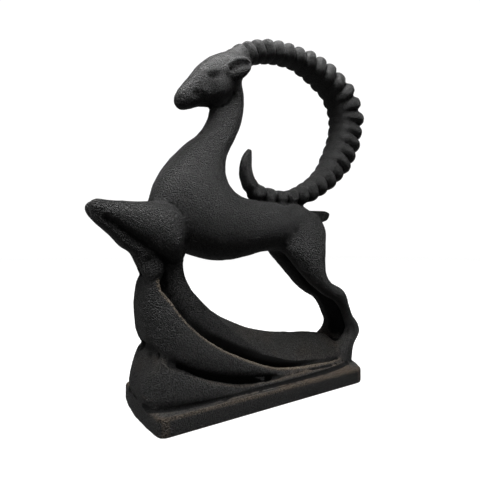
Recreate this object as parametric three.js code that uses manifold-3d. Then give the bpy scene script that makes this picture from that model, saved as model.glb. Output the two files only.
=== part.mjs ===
// A leaping gazelle with one long ringed horn, over three stepped waves on a low plinth.
// The whole work is one casting, so it is one solid.
// Millimetres, +Z up. The origin is the middle of the plinth's flat underside.
// The animal faces -X. But for the waves' far corner, both sides of the plane Y = 0 are the same.
import * as THREE from 'three';
import { mergeVertices } from 'three/addons/utils/BufferGeometryUtils.js';
import Module from 'manifold-3d';

// Plinth
const PLINTH_LENGTH = 185;
const PLINTH_WIDTH = 80;
const PLINTH_THICKNESS = 12.5;
const PLINTH_FRONT_BOW = 3;
const PLINTH_REAR_BOW = 16;
const PLINTH_CORNER_RADIUS = 7;
const PLINTH_EDGE_WEAR = 0.8;

// Figure. Its outline points are written at OUTLINE_HEIGHT above the plinth's top face
// and are brought to FIGURE_HEIGHT by one share.
const OUTLINE_HEIGHT = 290;
const FIGURE_HEIGHT = 290;
const SHARE = FIGURE_HEIGHT / OUTLINE_HEIGHT;

// Horn
const HORN_RIDGES = 31;
const HORN_RIDGE_RISE = 2.6;
const HORN_INNER_RISE = 0.7;
const HORN_SMOOTH_TIP = 0.07;
const HORN_SIDES = 12;

// Hind legs: how far the far one is set back, and between which heights
const HOCK_STAGGER = 5;
const HIP = 110;
const PASTERN = 12;

// Waves
const RIM_WIDTH = 3;
const GROOVE_DEPTH = 8;
const GROOVE_WIDTH = 2.5;

const wasm = await Module();
wasm.setup();

// A closed three.js geometry as a manifold solid.
function solidOf(geometry) {
  geometry.deleteAttribute('normal');
  geometry.deleteAttribute('uv');
  const merged = mergeVertices(geometry, 1e-4);
  return new wasm.Manifold(new wasm.Mesh({
    numProp: 3,
    vertProperties: new Float32Array(merged.attributes.position.array),
    triVerts: new Uint32Array(merged.index.array),
  }));
}

// A manifold solid as a three.js geometry.
function geometryOf(solid) {
  const mesh = solid.getMesh();
  const geometry = new THREE.BufferGeometry();
  geometry.setAttribute('position', new THREE.BufferAttribute(mesh.vertProperties, 3));
  geometry.setIndex(new THREE.BufferAttribute(mesh.triVerts, 1));
  geometry.computeVertexNormals();
  return geometry;
}

// A skin over rings with equally many points, closed at both ends by a fan to the ring's middle.
function skin(rings) {
  const count = rings[0].length;
  const points = rings.flat();
  const faces = [];
  for (let ring = 0; ring < rings.length - 1; ring++) {
    for (let i = 0; i < count; i++) {
      const a = ring * count + i;
      const b = ring * count + (i + 1) % count;
      faces.push(a, b, b + count, a, b + count, a + count);
    }
  }
  for (const ring of [0, rings.length - 1]) {
    const middle = points.length;
    const centre = new THREE.Vector3();
    rings[ring].forEach((point) => centre.addScaledVector(point, 1 / count));
    points.push(centre);
    for (let i = 0; i < count; i++) {
      const a = ring * count + i;
      const b = ring * count + (i + 1) % count;
      faces.push(...(ring === 0 ? [b, a, middle] : [a, b, middle]));
    }
  }
  let volume = 0;
  for (let i = 0; i < faces.length; i += 3) {
    const [a, b, c] = [points[faces[i]], points[faces[i + 1]], points[faces[i + 2]]];
    volume += a.dot(new THREE.Vector3().crossVectors(b, c)) / 6;
  }
  const geometry = new THREE.BufferGeometry().setFromPoints(points);
  geometry.setIndex(volume > 0 ? faces : faces.reverse());
  return solidOf(geometry);
}

// A value between -1 and 1 bent towards a rounded square: power 2 is an ellipse.
function bent(value, power) {
  return Math.sign(value) * Math.abs(value) ** (2 / power);
}

// A point of the figure: x along the plinth, height above its top face.
function figurePoint(x, height, y = 0) {
  return new THREE.Vector3(x * SHARE, y * SHARE, PLINTH_THICKNESS + height * SHARE);
}

// A limb between two edges seen from the side. Each station is
// [x and height of one edge, x and height of the other edge, half width, y of its middle].
function limb(stations, { rings = 20, sides = 12, power = 2.3 } = {}) {
  const first = new THREE.CatmullRomCurve3(stations.map((s) => figurePoint(s[0], s[1])));
  const second = new THREE.CatmullRomCurve3(stations.map((s) => figurePoint(s[2], s[3])));
  const width = new THREE.CatmullRomCurve3(
    stations.map((s) => new THREE.Vector3(s[4] * SHARE, (s[5] ?? 0) * SHARE, 0)));
  const loops = [];
  for (let i = 0; i <= rings; i++) {
    const t = i / rings;
    const a = first.getPoint(t);
    const b = second.getPoint(t);
    const size = width.getPoint(t);
    const centre = a.clone().add(b).multiplyScalar(0.5);
    const half = a.clone().sub(b).multiplyScalar(0.5);
    const loop = [];
    for (let j = 0; j < sides; j++) {
      const angle = (2 * Math.PI * j) / sides;
      const point = centre.clone().addScaledVector(half, bent(Math.cos(angle), power));
      point.y = size.y + size.x * bent(Math.sin(angle), power);
      loop.push(point);
    }
    loops.push(loop);
  }
  return skin(loops);
}

// The same limb on both sides of the work.
function pair(stations, options) {
  const near = limb(stations, options);
  const far = limb(stations.map((s) => [s[0], s[1], s[2], s[3], s[4], -s[5]]), options);
  return near.add(far);
}

function plinth() {
  const halfLength = PLINTH_LENGTH / 2;
  const halfWidth = PLINTH_WIDTH / 2;
  const radius = PLINTH_CORNER_RADIUS;
  const wear = PLINTH_EDGE_WEAR;
  const x = halfLength - wear;
  const y = halfWidth - wear;
  const shape = new THREE.Shape();
  shape.moveTo(-x + radius, -y);
  shape.lineTo(x - radius, -y);
  shape.quadraticCurveTo(x, -y, x + 0.25 * PLINTH_REAR_BOW, -y + radius);
  shape.quadraticCurveTo(x + 1.75 * PLINTH_REAR_BOW, 0, x + 0.25 * PLINTH_REAR_BOW, y - radius);
  shape.quadraticCurveTo(x, y, x - radius, y);
  shape.lineTo(-x + radius, y);
  shape.quadraticCurveTo(-x, y, -x - 0.25 * PLINTH_FRONT_BOW, y - radius);
  shape.quadraticCurveTo(-x - 1.75 * PLINTH_FRONT_BOW, 0, -x - 0.25 * PLINTH_FRONT_BOW, -y + radius);
  shape.quadraticCurveTo(-x, -y, -x + radius, -y);
  const geometry = new THREE.ExtrudeGeometry(shape, {
    depth: PLINTH_THICKNESS - 2 * wear,
    curveSegments: 7,
    bevelSize: wear,
    bevelThickness: wear,
    bevelSegments: 1,
  });
  geometry.translate(0, 0, wear);
  return solidOf(geometry);
}

// Plan outline of a wave: shares of the plinth's half length and half width, from the middle of
// the front end along the near side to the middle of the rear end, and mirrored for the far side.
// The far front corner is squarer by the far corner's share.
function wavePlan(side, farCorner, count = 36) {
  const place = ([x, y]) => new THREE.Vector3(x * PLINTH_LENGTH / 2, y * PLINTH_WIDTH / 2, 0);
  const mirrored = side.slice(1, -1).reverse().map(([x, y]) => {
    const corner = farCorner * Math.max(0, 1 - 16 * ((x + 0.93) ** 2 + (y + 0.68) ** 2));
    return [x - corner, corner - y];
  });
  const curve = new THREE.CatmullRomCurve3([...side, ...mirrored].map(place), true, 'centripetal');
  return curve.getSpacedPoints(count).slice(0, count);
}

// Heights along the plinth: a curve through [x, height above the plinth's top face].
function heightCurve(points) {
  const curve = new THREE.CatmullRomCurve3(points.map(([x, h]) => figurePoint(x, h)));
  const samples = curve.getPoints(60);
  return (x) => {
    if (x <= samples[0].x) return samples[0].z;
    for (let i = 1; i < samples.length; i++) {
      if (x <= samples[i].x) {
        const share = (x - samples[i - 1].x) / (samples[i].x - samples[i - 1].x);
        return samples[i - 1].z + share * (samples[i].z - samples[i - 1].z);
      }
    }
    return samples[samples.length - 1].z;
  };
}

// One wave: rings of its plan outline, each moved inward and set at a share of the wave's height.
// Each level is [inset at the blunt end, inset along the sides, share of height, drop below it].
function wave(plan, top, levels) {
  const blunt = Math.min(...plan.map((point) => point.x));
  const tip = Math.max(...plan.map((point) => point.x));
  const middle = new THREE.Vector3(0.5 * (blunt + tip), 0, 0);
  const floor = PLINTH_THICKNESS - 1;
  const loops = levels.map(([endInset, sideInset, share, drop = 0]) => plan.map((point, i) => {
    const before = plan[(i + plan.length - 1) % plan.length];
    const after = plan[(i + 1) % plan.length];
    const along = after.clone().sub(before).normalize();
    const inward = new THREE.Vector3(-along.y, along.x, 0);
    if (inward.dot(middle.clone().sub(point)) < 0) inward.negate();
    const atEnd = inward.x > 0 ? inward.x ** 2 : 0;
    const taper = Math.min(1, (tip - point.x) / (0.5 * (tip - blunt)));
    const inset = THREE.MathUtils.lerp(sideInset, endInset, atEnd) * SHARE * taper;
    const moved = point.clone().addScaledVector(inward, inset);
    moved.z = floor + share * (top(point.x) - floor) - drop * taper;
    return moved;
  }));
  return skin(loops);
}

function lowWave() {
  const plan = wavePlan([
    [-1.04, 0], [-1.035, -0.35], [-0.985, -0.6], [-0.88, -0.75], [-0.7, -0.83], [-0.2, -0.84],
    [0.4, -0.83], [0.75, -0.75], [0.95, -0.62], [1.04, -0.4], [1.065, 0],
  ], 0.02);
  const top = heightCurve([
    [-98, 34.5], [-92, 34.2], [-84, 31.2], [-71, 24], [-61, 18.2], [-48, 13.2], [-35, 9], [-20, 6.6],
    [0, 5.4], [30, 5], [60, 4], [100, 1.2],
  ]);
  return wave(plan, top, [
    [2.2, 1.6, 0], [0, 0, 0.2], [1, 0, 0.5], [5, 0.5, 0.8], [10.5, 2.6, 1], [13.5, 5.2, 1, 3.5], [17, 9, 1, 5],
  ]);
}

function middleWave() {
  const plan = wavePlan([
    [-1.02, 0], [-1.015, -0.3], [-0.97, -0.5], [-0.87, -0.65], [-0.7, -0.72], [-0.2, -0.74],
    [0.4, -0.72], [0.75, -0.64], [0.93, -0.52], [1.01, -0.3], [1.035, 0],
  ], 0.03);
  const top = heightCurve([
    [-92, 86.5], [-89, 78], [-81, 66.8], [-69.3, 52.3], [-52.6, 37.7], [-33, 26.4],
    [-8, 14.8], [8, 9.6], [32, 6.4], [60, 5], [98, 2],
  ]);
  const rim = 1;
  return wave(plan, top, [
    [10, 6.4, 0], [9.5, 6, 0.42], [4.5, 3, 0.5], [0.2, 0.2, 0.68], [0.4, 0, 0.82], [5.5, rim, 1],
    [5.5 + RIM_WIDTH, rim + RIM_WIDTH, 1],
    [5.5 + RIM_WIDTH + GROOVE_WIDTH, rim + RIM_WIDTH + GROOVE_WIDTH, 1, GROOVE_DEPTH],
  ]);
}

// The tall wave: a strap that rises from the hooves to the chest. Its section has upright sides
// to a crisp edge, then slopes to a rounded crest.
function tallWave() {
  const stations = [
    // crest x and height, foot x and height, half width at the edge, share of height at the edge
    [-61, 107, -84, 104, 14, 0.95],
    [-65, 92, -85, 84, 14.5, 0.95],
    [-60.5, 78, -82, 66, 15.5, 0.95],
    [-47, 63.5, -74, 46, 16.5, 0.93],
    [-29, 51, -60, 30, 17.5, 0.85],
    [-10, 42, -38, 18, 18.2, 0.7],
    [12, 35, -12, 8, 18.8, 0.5],
    [40, 30.5, 26, 0, 19.2, 0.34],
    [66, 27.5, 64, -3, 19.2, 0.32],
    [88, 22, 88, -3, 18.6, 0.34],
    [98, 12, 98, -3, 15, 0.4],
  ];
  const crest = new THREE.CatmullRomCurve3(stations.map((s) => figurePoint(s[0], s[1])));
  const foot = new THREE.CatmullRomCurve3(stations.map((s) => figurePoint(s[2], s[3])));
  const size = new THREE.CatmullRomCurve3(
    stations.map((s) => new THREE.Vector3(s[4] * SHARE, s[5], 0)));
  const loops = [];
  const rings = 21;
  for (let i = 0; i <= rings; i++) {
    const t = i / rings;
    const high = crest.getPoint(t);
    const low = foot.getPoint(t);
    const { x: half, y: edge } = size.getPoint(t);
    const side = [
      [0, 0.5], [0.35 * edge, 0.72], [0.7 * edge, 0.96], [edge, 1],
      [edge + 0.35 * (1 - edge), 0.8], [edge + 0.8 * (1 - edge), 0.4], [1, 0.06],
    ];
    const loop = side.map(([share, width]) => {
      const point = low.clone().lerp(high, share);
      point.y = -half * width;
      return point;
    });
    const other = loop.slice().reverse().map((point) => new THREE.Vector3(point.x, -point.y, point.z));
    loops.push([...loop, ...other]);
  }
  return skin(loops);
}

// Neck, chest, barrel and rump in one sweep. The first edge is throat, chest and belly,
// the other is nape, withers, back and croup.
function trunk() {
  return limb([
    [-33, 231, -12, 250, 9],
    [-37, 219, -8, 235, 9.6],
    [-39, 208, -8, 220, 10.8],
    [-46, 196, -12, 204, 12.6],
    [-60, 183, -19, 190, 15],
    [-72.5, 169, -25.5, 177, 18],
    [-81.5, 154, -27, 165, 20.5],
    [-86, 138, -23, 154.5, 22],
    [-82, 119.5, -13, 147.5, 22.5],
    [-66, 104.5, 3, 145, 22],
    [-47, 97.5, 18, 145, 21],
    [-25, 95, 32, 145, 20],
    [-5, 98, 44, 146, 19],
    [12, 102, 56, 143.5, 18],
    [26, 103, 66, 138.5, 16.5],
    [40, 101, 72, 130, 13],
    [52, 103, 73, 120, 8],
  ], { rings: 26, sides: 16, power: 2.35 });
}

function head() {
  return limb([
    [-67.5, 216.5, -66, 211.8, 3.6],
    [-66.5, 222, -61.5, 210.3, 6.4],
    [-61.5, 229.5, -54, 212.5, 8],
    [-55.5, 237.5, -47.5, 215.5, 9],
    [-47.8, 248.3, -40, 217.3, 11],
    [-38.5, 256.6, -33, 218.5, 12.8],
    [-28, 262.8, -24.5, 222, 13.2],
    [-18, 268.5, -16, 233, 11.8],
    [-8, 273, -8, 247, 9.5],
    [0, 275, 0, 258, 7],
  ], { rings: 14, sides: 14, power: 2.6 });
}

// A leaf-shaped ear with a hollow face, on each side.
function ears() {
  const leaf = pair([
    [-31, 245, -30, 240, 2.5, -10],
    [-27.5, 251, -25.5, 238, 3.6, -11.5],
    [-22, 256, -20, 237.8, 4.2, -13.4],
    [-16, 257, -14.5, 241, 3.8, -15.4],
    [-11.5, 254.5, -10.8, 246.5, 2.8, -17],
    [-10, 251.5, -10, 249.5, 1.4, -17.8],
  ], { rings: 8, sides: 10, power: 2.2 });
  const hollow = pair([
    [-28.5, 246, -27.5, 243.5, 1.2, -15.5],
    [-24.5, 251, -21.5, 244, 2.8, -17.5],
    [-18.5, 254.5, -15.5, 246.5, 3.2, -19.5],
    [-13.5, 254, -12, 250, 2, -20.5],
  ], { rings: 6, sides: 8, power: 2 });
  return leaf.subtract(hollow);
}

function tail() {
  return limb([
    [60, 141, 66, 124, 8],
    [70, 140.5, 76, 130, 6.5],
    [80, 141, 83, 133, 4.5],
    [89, 140.8, 90, 136, 2.5],
    [93.5, 139, 93.5, 137.5, 1],
  ], { rings: 6, sides: 8, power: 2 });
}

// Forearm, the lower leg folded back under it, the foot bent down onto the wave, and the stone
// between the two forelegs.
function forelegs() {
  const forearm = pair([
    [-64, 128, -66, 96, 5.5, -9],
    [-70, 134.5, -73, 95.5, 9.8, -12.6],
    [-79, 137, -82, 101, 11, -12.8],
    [-93, 136.6, -93, 110, 10.2, -10.8],
    [-108, 136, -106, 119.5, 8.8, -8.8],
    [-119, 136.2, -116, 124.5, 8, -7.4],
    [-125.8, 136.2, -123.4, 126.6, 7.4, -6.8],
    [-129, 132.6, -128.2, 129, 4.8, -6.4],
  ], { rings: 10, sides: 12 });
  const shank = pair([
    [-123.5, 132, -126.8, 128.6, 4.5, -6.2],
    [-117.5, 127, -122.5, 123.2, 6.4, -6.8],
    [-107.5, 119.5, -113, 115.8, 6.6, -7.2],
    [-98, 112.5, -104.5, 107.3, 6.8, -7.8],
    [-89.5, 107, -98, 101.5, 7.4, -8.4],
    [-87, 101, -94.5, 96, 6.4, -8.8],
    [-88, 97, -91.5, 93.5, 4, -9],
  ], { rings: 8, sides: 10 });
  const foot = pair([
    [-91, 103.5, -95.5, 97, 4.5, -9],
    [-85.5, 99.8, -92.5, 92, 6.4, -9.6],
    [-80.8, 95, -90.5, 87.5, 7.4, -10],
    [-79.5, 89.5, -88.5, 84.5, 7, -10.2],
    [-81.5, 83, -87.5, 80.5, 5, -10],
    [-84, 78.5, -86.5, 78, 2.4, -9.8],
  ], { rings: 6, sides: 10 });
  const web = limb([
    [-64, 118, -68, 95, 8],
    [-92, 128, -84, 92, 7],
    [-113, 131, -104, 114, 6],
    [-122, 131, -117, 123, 4],
  ], { rings: 6, sides: 8 });
  return forearm.add(shank).add(foot).add(web);
}

// Hind legs from the hip to the hoof, with a thin web of stone set back between them. The far hock
// and shank stand a little further back than the near ones.
function hindLegs() {
  const stations = [
    [26, 115, 66, 138, 8, -9],
    [27, 105, 75, 124, 10, -10.5],
    [36.5, 93.5, 73.5, 109, 10.3, -12.2],
    [47, 81.5, 70.5, 93.5, 9, -14],
    [60, 70, 70.5, 83, 7.6, -15.2],
    [73, 61.8, 76.5, 74, 6.8, -16],
    [86, 55, 91.8, 66.4, 6.4, -16.4],
    [93, 47.5, 97.5, 54, 5.8, -16.6],
    [97.5, 38.5, 103.5, 42.5, 5.6, -16.6],
    [100, 30.5, 110.5, 35, 5.8, -16.4],
    [98, 25, 114, 27, 6.2, -16.2],
    [94, 20.5, 110.5, 21, 6.8, -16],
    [90, 15, 105.5, 16.5, 8, -15.4],
    [87, 8, 103.5, 8, 9, -14.6],
    [85, 0, 102, -1, 9.3, -14.2],
  ];
  const far = stations.map(([x1, h1, x2, h2, half, y]) => {
    const middle = 0.5 * (h1 + h2);
    const fade = Math.min(1, Math.max(0, (HIP - middle) / 20), Math.max(0, (middle - PASTERN) / 20));
    const back = HOCK_STAGGER * fade;
    return [x1 + back, h1, x2 + back, h2, half, -y];
  });
  const shape = { rings: 19, sides: 12 };
  const web = limb([
    [50, 106, 70, 118, 10],
    [61, 88, 71.5, 97, 11],
    [75, 69, 80, 75, 12],
    [88.5, 60, 92.5, 64.5, 12.5],
    [97, 49.5, 100.5, 53.5, 13],
    [102, 40.5, 106, 43, 13],
    [107.5, 32.5, 111.5, 34.5, 13],
    [109, 25.5, 114, 26.5, 13],
    [103, 18.5, 111, 20.5, 12],
    [95, 10, 104, 10, 12],
    [89, 0, 102, -1, 12],
  ], { rings: 12, sides: 8, power: 3 });
  return limb(stations, shape).add(limb(far, shape)).add(web);
}

// The horn: a long curl that comes back to the animal's back and ends in a blunt upturned tip.
// Ridges run round its outer face and fade on the inner one.
function horn() {
  const stations = [
    // x, height, half thickness across the curl, half width sideways
    [-22, 257, 8.4, 8.4], [-6, 266.3, 8.4, 8.8], [12, 274.8, 8, 9.2], [34, 279.3, 7.4, 9.4],
    [58, 279.5, 8.4, 10.5], [84, 272.5, 10.8, 12.2], [101, 264, 12.2, 13.6], [111.5, 253, 13.2, 14.6],
    [117, 240.5, 13.8, 15], [117, 228, 14, 15.2], [112.5, 210.5, 13.8, 14.8], [103, 193, 12.6, 14],
    [90, 176.4, 10.2, 13], [73, 163.8, 8.6, 11.6], [54, 154.2, 7.6, 10], [35, 150, 5.8, 8.8],
    [19, 150.4, 6.6, 8], [6, 153.5, 6.2, 7.4], [-1.5, 161.5, 6, 7], [-4, 171.5, 5.4, 6.4],
    [-2.5, 181.5, 4.4, 5], [0, 188.5, 2.4, 2.8],
  ];
  const path = new THREE.CatmullRomCurve3(stations.map(([x, h]) => figurePoint(x, h)));
  const size = new THREE.CatmullRomCurve3(
    stations.map((s) => new THREE.Vector3(s[2] * SHARE, s[3] * SHARE, 0)));
  const steps = 3;
  const rings = HORN_RIDGES * steps;
  const loops = [];
  for (let i = 0; i <= rings; i++) {
    const t = i / rings;
    const centre = path.getPointAt(t);
    const along = path.getTangentAt(t);
    const outward = new THREE.Vector3(-along.z, 0, along.x);
    const { x: radial, y: side } = size.getPoint(path.getUtoTmapping(t));
    const fade = Math.min(1, Math.max(0, (1 - HORN_SMOOTH_TIP - t) * 25), 0.2 + t * 12);
    const rise = fade * [0, 0.75, 1][i % steps];
    const loop = [];
    for (let j = 0; j < HORN_SIDES; j++) {
      const angle = (2 * Math.PI * j) / HORN_SIDES;
      const across = bent(Math.cos(angle), 2.6);
      const lateral = bent(Math.sin(angle), 2.6);
      const outer = 0.5 * (1 + Math.cos(angle));
      const ridge = SHARE * rise * (HORN_INNER_RISE + outer * (HORN_RIDGE_RISE - HORN_INNER_RISE));
      const point = centre.clone().addScaledVector(outward, across * (radial + ridge));
      point.y = lateral * (side + 0.6 * ridge);
      loop.push(point);
    }
    loops.push(loop);
  }
  return skin(loops);
}

function gazelleSculpture() {
  const parts = [
    lowWave(), middleWave(), tallWave(), trunk(), head(), ears(), tail(), forelegs(), hindLegs(), horn(),
  ];
  const whole = parts.reduce((sum, part) => sum.add(part), plinth());
  return whole;
}

const castStone = new THREE.MeshStandardMaterial({
  color: new THREE.Color(0.03, 0.03, 0.031),
  roughness: 0.62,
  metalness: 0,
});

const sculpture = new THREE.Group();
const body = new THREE.Mesh(geometryOf(gazelleSculpture()), castStone);
body.name = 'gazelle_sculpture';
sculpture.add(body);

export default sculpture;
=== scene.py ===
# %% [markdown]
# # A leaping gazelle in black cast stone
#
# The sculpture is one casting: a plinth, three stepped waves and a gazelle whose single ringed horn
# curls back to its spine. Every form is a numpy surface. The surfaces are joined and remeshed into
# one skin, which is then carved: creases are filled where one limb grows out of another, and eyes,
# ears, muzzle, feet and grooves are pressed in. Each crease is also kept as a track, so that the
# finish can paint shade into it. Lengths are millimetres until the mesh is made.
#
# The frame holds the solid that was packed before.

import bpy
import numpy as np
from mathutils import Matrix
from mathutils.bvhtree import BVHTree


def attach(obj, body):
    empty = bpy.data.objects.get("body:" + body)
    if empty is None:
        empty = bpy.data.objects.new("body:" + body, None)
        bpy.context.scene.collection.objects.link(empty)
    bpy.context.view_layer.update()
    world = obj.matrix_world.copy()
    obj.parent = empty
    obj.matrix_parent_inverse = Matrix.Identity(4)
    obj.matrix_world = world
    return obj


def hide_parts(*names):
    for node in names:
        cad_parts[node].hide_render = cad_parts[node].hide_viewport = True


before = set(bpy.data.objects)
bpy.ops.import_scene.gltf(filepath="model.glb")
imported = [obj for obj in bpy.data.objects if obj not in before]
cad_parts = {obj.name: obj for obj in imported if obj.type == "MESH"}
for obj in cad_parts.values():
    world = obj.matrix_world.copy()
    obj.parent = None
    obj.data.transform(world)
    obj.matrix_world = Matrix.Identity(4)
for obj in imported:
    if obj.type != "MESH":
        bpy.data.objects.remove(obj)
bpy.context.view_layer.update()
print("frame nodes:", sorted(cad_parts))

# %% [markdown]
# ## Curves and skins
#
# `through(points, t)` is the centripetal Catmull-Rom curve: between p1 and p2 it is the cubic with
# end slopes m1 = ((p1-p0)/d0 - (p2-p0)/(d0+d1) + (p2-p1)/d1) d1 and m2 alike, where d is the square
# root of each chord. It passes through every point and doesn't overshoot where points are close,
# which a Bezier curve with automatic handles would do. A skin is a grid of rings, closed at its ends.

# %% Curves
def through(points, t, closed=False):
    """Points of the centripetal Catmull-Rom curve at t in 0..1, one span per pair of points."""
    p = np.asarray(points, float)
    spans = len(p) if closed else len(p) - 1
    if closed:
        p = np.vstack([p[-1:], p, p[:2]])
    else:
        p = np.vstack([2 * p[0] - p[1], p, 2 * p[-1] - p[-2]])
    u = np.clip(np.asarray(t, float) * spans, 0, spans - 1e-9)
    i = u.astype(int)
    w = (u - i)[:, None]
    p0, p1, p2, p3 = p[i], p[i + 1], p[i + 2], p[i + 3]
    d0, d1, d2 = (
        np.maximum(np.linalg.norm(b - a, axis=1), 1e-6)[:, None] ** 0.5
        for a, b in ((p0, p1), (p1, p2), (p2, p3))
    )
    m1 = ((p1 - p0) / d0 - (p2 - p0) / (d0 + d1) + (p2 - p1) / d1) * d1
    m2 = ((p2 - p1) / d1 - (p3 - p1) / (d1 + d2) + (p3 - p2) / d2) * d1
    return (
        p1
        + w * m1
        + w**2 * (3 * (p2 - p1) - 2 * m1 - m2)
        + w**3 * (2 * (p1 - p2) + m1 + m2)
    )


def evenly(points, count, closed=False):
    """Points at equal lengths along the curve, and the curve's own t at each."""
    t = np.linspace(0, 1, 40 * len(points) + 1)
    dense = through(points, t, closed)
    run = np.concatenate([[0], np.cumsum(np.linalg.norm(np.diff(dense, axis=0), axis=1))])
    at = np.interp(np.linspace(0, run[-1], count), run, t)
    return through(points, at, closed), at


# %% Skins over rings
def bent(value, power):
    """A sine or cosine bent towards a rounded square: power 2 is an ellipse."""
    return np.sign(value) * np.abs(value) ** (2 / power)


def skin(rings):
    """Vertices and triangles over rings (rows, count, 3), closed by a fan at both ends."""
    rows, count, _ = rings.shape
    verts = np.vstack([rings.reshape(-1, 3), rings[0].mean(0), rings[-1].mean(0)])
    k = np.arange(count)
    a = (np.arange(rows - 1)[:, None] * count + k).ravel()
    b = (np.arange(rows - 1)[:, None] * count + (k + 1) % count).ravel()
    last = (rows - 1) * count
    faces = np.vstack(
        [
            np.c_[a, b, b + count],
            np.c_[a, b + count, a + count],
            np.c_[(k + 1) % count, k, np.full(count, rows * count)],
            np.c_[last + k, last + (k + 1) % count, np.full(count, rows * count + 1)],
        ]
    )
    p, q, r = verts[faces[:, 0]], verts[faces[:, 1]], verts[faces[:, 2]]
    if np.einsum("ij,ij->i", p, np.cross(q, r)).sum() < 0:
        faces = faces[:, ::-1]
    return verts, faces


# %% [markdown]
# ## Limbs
#
# In the photo the animal is seen from its side, so what is known best of each limb is its two
# edges. A limb is therefore a loft: two curves are its edges, and between each pair of points
# stands a section, x = middle + half * cos, y = width * sin, both bent a little towards a square.
# Sculpting by hand or metaballs could make the same forms, but wouldn't keep the outline.

# %% Limbs
PLATE = 12.5  # the plinth's thickness; heights of the figure count from its top face


def limb(stations, rings=60, sides=40, power=2.3, side=1):
    """A loft between two edges. Each station is edge 1 (x, height), edge 2 (x, height), half
    width and middle y, and its section is middle + half * cos(a), width * sin(a)."""
    s = np.array([list(row) + [0] * (6 - len(row)) for row in stations], float)
    t = np.linspace(0, 1, rings)
    first = through(s[:, 0:2], t)
    second = through(s[:, 2:4], t)
    width = through(s[:, 4:6], t)
    angle = np.linspace(0, 2 * np.pi, sides, endpoint=False)
    c, n = bent(np.cos(angle), power), bent(np.sin(angle), power)
    middle, half = (first + second) / 2, (first - second) / 2
    x = middle[:, :1] + half[:, :1] * c
    z = middle[:, 1:] + half[:, 1:] * c + PLATE
    y = side * width[:, 1:] + width[:, :1] * n
    return skin(np.stack([x, y, z], axis=2))


def pair(stations, **options):
    """The same limb on both sides of the work."""
    return [limb(stations, side=1, **options), limb(stations, side=-1, **options)]


# %% A list of forms
parts = []


def keep_form(name, skins):
    """Adds skins to the list that is joined later, and prints how large they are together."""
    verts = np.vstack([v for v, _ in skins])
    size = np.ptp(verts, axis=0).round(1)
    print(f"{name}: {len(skins)} skins, {len(verts)} vertices, {size[0]} x {size[1]} x {size[2]} mm")
    parts.extend(skins)


# %% [markdown]
# ## The plinth
#
# The real plinth is a plate, nearly straight along its sides and bowed at both ends, with rounded
# corners and edges that are worn soft. A bevelled cube would do for a box. Here one plan outline of
# eight arcs is moved inward a little near its top and bottom, which rounds every edge alike.

# %% Plinth
PLINTH_LENGTH, PLINTH_WIDTH = 185.0, 80.0
FRONT_BOW, REAR_BOW, CORNER = 3.0, 16.0, 7.0


def inward_of(outline):
    """Unit normals of a closed plan outline: the step between a point's neighbours, turned left."""
    along = np.roll(outline, -1, 0) - np.roll(outline, 1, 0)
    return np.c_[-along[:, 1], along[:, 0]] / np.linalg.norm(along, axis=1)[:, None]


def plinth():
    """A plate with bowed ends and worn edges: rings of one outline, inset at the edges. Each arc
    is (1-t)^2 a + 2t(1-t) b + t^2 c."""
    x, y = PLINTH_LENGTH / 2, PLINTH_WIDTH / 2

    def arc(a, b, c, n):
        t = np.linspace(0, 1, n, endpoint=False)[:, None]
        return (1 - t) ** 2 * np.array(a) + 2 * t * (1 - t) * np.array(b) + t**2 * np.array(c)

    f, r, k = FRONT_BOW, REAR_BOW, CORNER
    outline = np.vstack(
        [
            arc((-x + k, -y), (0, -y), (x - k, -y), 90),
            arc((x - k, -y), (x, -y), (x + r / 4, -y + k), 10),
            arc((x + r / 4, -y + k), (x + 1.75 * r, 0), (x + r / 4, y - k), 40),
            arc((x + r / 4, y - k), (x, y), (x - k, y), 10),
            arc((x - k, y), (0, y), (-x + k, y), 90),
            arc((-x + k, y), (-x, y), (-x - f / 4, y - k), 10),
            arc((-x - f / 4, y - k), (-x - 1.75 * f, 0), (-x - f / 4, -y + k), 40),
            arc((-x - f / 4, -y + k), (-x, -y), (-x + k, -y), 10),
        ]
    )
    inward = inward_of(outline)
    # each level is (inset, height)
    levels = [(0.4, 0), (0, 0.4), (0, 1.2), (0, PLATE - 1.6), (0.35, PLATE - 0.5), (1.2, PLATE)]
    rings = [np.c_[outline + inset * inward, np.full(len(outline), z)] for inset, z in levels]
    return [skin(np.array(rings))]


keep_form("plinth", plinth())


# %% [markdown]
# ## The waves
#
# Three stylised waves carry the animal. The two lower ones are long leaves, blunt in front and
# running out to a tip at the rear. Each is its plan outline, moved inward and raised ring by ring:
# a bulging face, a crisp rim, and a groove behind the rim. A boolean cut would give the same
# groove, but rings keep it even in width. The middle wave's rim is a round bead that shines
# lighter than the rest, so it is a tube of its own.

# %% Plans and heights of a wave
def wave_plan(side, far_corner, count):
    """Plan outline from shares of half the plinth, mirrored, with a squarer far front corner."""
    side = np.array(side, float)
    far = side[1:-1][::-1].copy()
    corner = far_corner * np.maximum(0, 1 - 16 * ((far[:, 0] + 0.93) ** 2 + (far[:, 1] + 0.68) ** 2))
    far = np.c_[far[:, 0] - corner, corner - far[:, 1]]
    points = np.vstack([side, far]) * (PLINTH_LENGTH / 2, PLINTH_WIDTH / 2)
    return evenly(points, count + 1, closed=True)[0][:count]


def crest_over(plan, crest):
    """Height of a wave's crest curve over each point of its plan."""
    curve = through(crest, np.linspace(0, 1, 400))
    return np.interp(plan[:, 0], curve[:, 0], curve[:, 1]) + PLATE


def front_share(inward):
    """1 at a wave's blunt front, 0 along its sides: the square of the normal's x."""
    return np.where(inward[:, 0] > 0, inward[:, 0] ** 2, 0)


def tapering(plan):
    """1 over a wave's front half, then falling evenly to 0 at its tip."""
    tip = plan[:, 0].max()
    return np.minimum(1, (tip - plan[:, 0]) / (0.5 * (tip - plan[:, 0].min())))


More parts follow.
